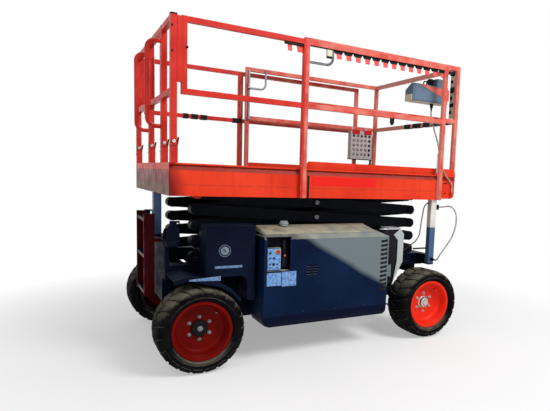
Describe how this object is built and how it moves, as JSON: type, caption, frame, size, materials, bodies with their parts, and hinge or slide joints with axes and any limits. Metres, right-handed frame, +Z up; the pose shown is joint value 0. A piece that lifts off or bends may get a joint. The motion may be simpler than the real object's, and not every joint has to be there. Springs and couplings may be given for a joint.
{
  "type": "scissor lift",
  "caption": "Self-propelled rough-terrain scissor lift: four wheels, folding crossed-arm stack and a railed platform with a roll-out end.",
  "frame": {"origin": "on the ground under the middle of the machine's length and width", "axes": "+X along the machine towards the roll-out, steered end; +Y to the far side; +Z up"},
  "size_m": [2.861, 1.76, 2.638],
  "materials": {
    "tyre": "matte",
    "rim_paint": "satin",
    "ladder_paint": "satin",
    "base_paint": "satin",
    "platform_paint": "satin",
    "bright_steel": "polished",
    "cable_rubber": "matte",
    "handle_paint": "satin",
    "grey_plastic": "matte"
  },
  "bodies": {
    "chassis": {"chassis_frame": "base_paint", "belly_pan": "base_paint", "fenders": "base_paint", "axle_rear": "base_paint", "axle_front": "base_paint", "module_far": "base_paint", "tank_near": "base_paint", "ladder": "ladder_paint", "cable_loop": "cable_rubber"},
    "engine_tray": {"module_near": "base_paint", "engine_block": "base_paint"},
    "tie_rod": {"tie_rod": "base_paint"},
    "knuckle_near": {"knuckle_near": "base_paint"},
    "knuckle_far": {"knuckle_far": "base_paint"},
    "lift_barrel": {"lift_barrel": "base_paint"},
    "lift_rod": {"lift_rod": "bright_steel"},
    "platform": {"deck_main": "platform_paint", "rail_main_near": "platform_paint", "rail_main_far": "platform_paint", "rail_entry": "platform_paint"},
    "gate": {"gate": "platform_paint"},
    "rollout": {"deck_rollout": "platform_paint", "rail_rollout_near": "platform_paint", "rail_rollout_far": "platform_paint", "rail_rollout_front": "platform_paint", "push_handles": "handle_paint", "console": "grey_plastic", "perforated_box": "grey_plastic", "cable_console": "cable_rubber"},
    "wheel_rear_near": {"tyre_rear_near": "tyre", "rim_rear_near": "rim_paint"},
    "wheel_rear_far": {"tyre_rear_far": "tyre", "rim_rear_far": "rim_paint"},
    "wheel_front_near": {"tyre_front_near": "tyre", "rim_front_near": "rim_paint"},
    "wheel_front_far": {"tyre_front_far": "tyre", "rim_front_far": "rim_paint"},
    "inner_1": {"arm_inner_1": "base_paint"},
    "outer_1": {"arm_outer_1": "base_paint"},
    "inner_2": {"arm_inner_2": "base_paint"},
    "outer_2": {"arm_outer_2": "base_paint"},
    "inner_3": {"arm_inner_3": "base_paint"},
    "outer_3": {"arm_outer_3": "base_paint"},
    "inner_4": {"arm_inner_4": "base_paint"},
    "outer_4": {"arm_outer_4": "base_paint"}
  },
  "joints": [
    {"name": "lift", "type": "hinge", "parent": "chassis", "child": "inner_1", "pos_m": [-1.0595, 0, 0.835], "axis": [0, -1, 0], "range_deg": [0, 51.4]},
    {"name": "cross_1", "type": "hinge", "parent": "inner_1", "child": "outer_1", "pos_m": [0.00351, 0, 0.9], "axis": [0, -1, 0], "range_deg": [-102.8, 0]},
    {"name": "link_1_2", "type": "hinge", "parent": "inner_1", "child": "outer_2", "pos_m": [1.06653, 0, 0.965], "axis": [0, -1, 0], "range_deg": [-102.8, 0]},
    {"name": "cross_2", "type": "hinge", "parent": "outer_2", "child": "inner_2", "pos_m": [0.00351, 0, 1.03], "axis": [0, -1, 0], "range_deg": [0, 102.8]},
    {"name": "link_2_3", "type": "hinge", "parent": "outer_2", "child": "inner_3", "pos_m": [-1.0595, 0, 1.095], "axis": [0, -1, 0], "range_deg": [0, 102.8]},
    {"name": "cross_3", "type": "hinge", "parent": "inner_3", "child": "outer_3", "pos_m": [0.00351, 0, 1.16], "axis": [0, -1, 0], "range_deg": [-102.8, 0]},
    {"name": "link_3_4", "type": "hinge", "parent": "inner_3", "child": "outer_4", "pos_m": [1.06653, 0, 1.225], "axis": [0, -1, 0], "range_deg": [-102.8, 0]},
    {"name": "cross_4", "type": "hinge", "parent": "outer_4", "child": "inner_4", "pos_m": [0.00351, 0, 1.29], "axis": [0, -1, 0], "range_deg": [0, 102.8]},
    {"name": "platform_level", "type": "hinge", "parent": "outer_4", "child": "platform", "pos_m": [-1.0595, 0, 1.355], "axis": [0, -1, 0], "range_deg": [0, 51.4]},
    {"name": "lift_barrel", "type": "hinge", "parent": "chassis", "child": "lift_barrel", "pos_m": [-0.6435, 0, 0.666], "axis": [0, -1, 0], "range_deg": [0, 58.85]},
    {"name": "lift_rod", "type": "slide", "parent": "lift_barrel", "child": "lift_rod", "axis": [0.9707, 0, 0.2401], "range_m": [0, 0.341]},
    {"name": "steer_near", "type": "hinge", "parent": "chassis", "child": "knuckle_near", "pos_m": [1.1005, -0.635, 0.33], "axis": [0, 0, 1], "range_deg": [-35, 35]},
    {"name": "steer_far", "type": "hinge", "parent": "chassis", "child": "knuckle_far", "pos_m": [1.1005, 0.635, 0.33], "axis": [0, 0, 1], "range_deg": [-35, 35]},
    {"name": "wheel_rear_near", "type": "hinge", "parent": "chassis", "child": "wheel_rear_near", "pos_m": [-1.0895, -0.73, 0.33], "axis": [0, 1, 0], "continuous": true},
    {"name": "wheel_rear_far", "type": "hinge", "parent": "chassis", "child": "wheel_rear_far", "pos_m": [-1.0895, 0.73, 0.33], "axis": [0, 1, 0], "continuous": true},
    {"name": "wheel_front_near", "type": "hinge", "parent": "knuckle_near", "child": "wheel_front_near", "pos_m": [1.1005, -0.73, 0.33], "axis": [0, 1, 0], "continuous": true},
    {"name": "wheel_front_far", "type": "hinge", "parent": "knuckle_far", "child": "wheel_front_far", "pos_m": [1.1005, 0.73, 0.33], "axis": [0, 1, 0], "continuous": true},
    {"name": "roll_out", "type": "slide", "parent": "platform", "child": "rollout", "axis": [1, 0, 0], "range_m": [0, 1.22]},
    {"name": "gate", "type": "slide", "parent": "platform", "child": "gate", "axis": [0, 0, 1], "range_m": [0, 0.33]},
    {"name": "swing_tray", "type": "hinge", "parent": "chassis", "child": "engine_tray", "pos_m": [0.6005, -0.84, 0.695], "axis": [0, 0, 1], "range_deg": [0, 75]},
    {"name": "tie_rod", "type": "hinge", "parent": "knuckle_near", "child": "tie_rod", "pos_m": [1.0005, -0.635, 0.202], "axis": [0, 0, 1], "range_deg": [-35, 35]}
  ],
  "couplings": [
    {"joint": "cross_1", "follows": "lift", "ratio": -2},
    {"joint": "link_1_2", "follows": "lift", "ratio": -2},
    {"joint": "cross_2", "follows": "lift", "ratio": 2},
    {"joint": "link_2_3", "follows": "lift", "ratio": 2},
    {"joint": "cross_3", "follows": "lift", "ratio": -2},
    {"joint": "link_3_4", "follows": "lift", "ratio": -2},
    {"joint": "cross_4", "follows": "lift", "ratio": 2},
    {"joint": "platform_level", "follows": "lift", "ratio": 1},
    {"joint": "lift_barrel", "follows": "lift", "ratio": 1.145},
    {"joint": "lift_rod", "follows": "lift", "m_per_rad": 0.38},
    {"joint": "steer_far", "follows": "steer_near", "ratio": 1},
    {"joint": "tie_rod", "follows": "steer_near", "ratio": -1}
  ]
}
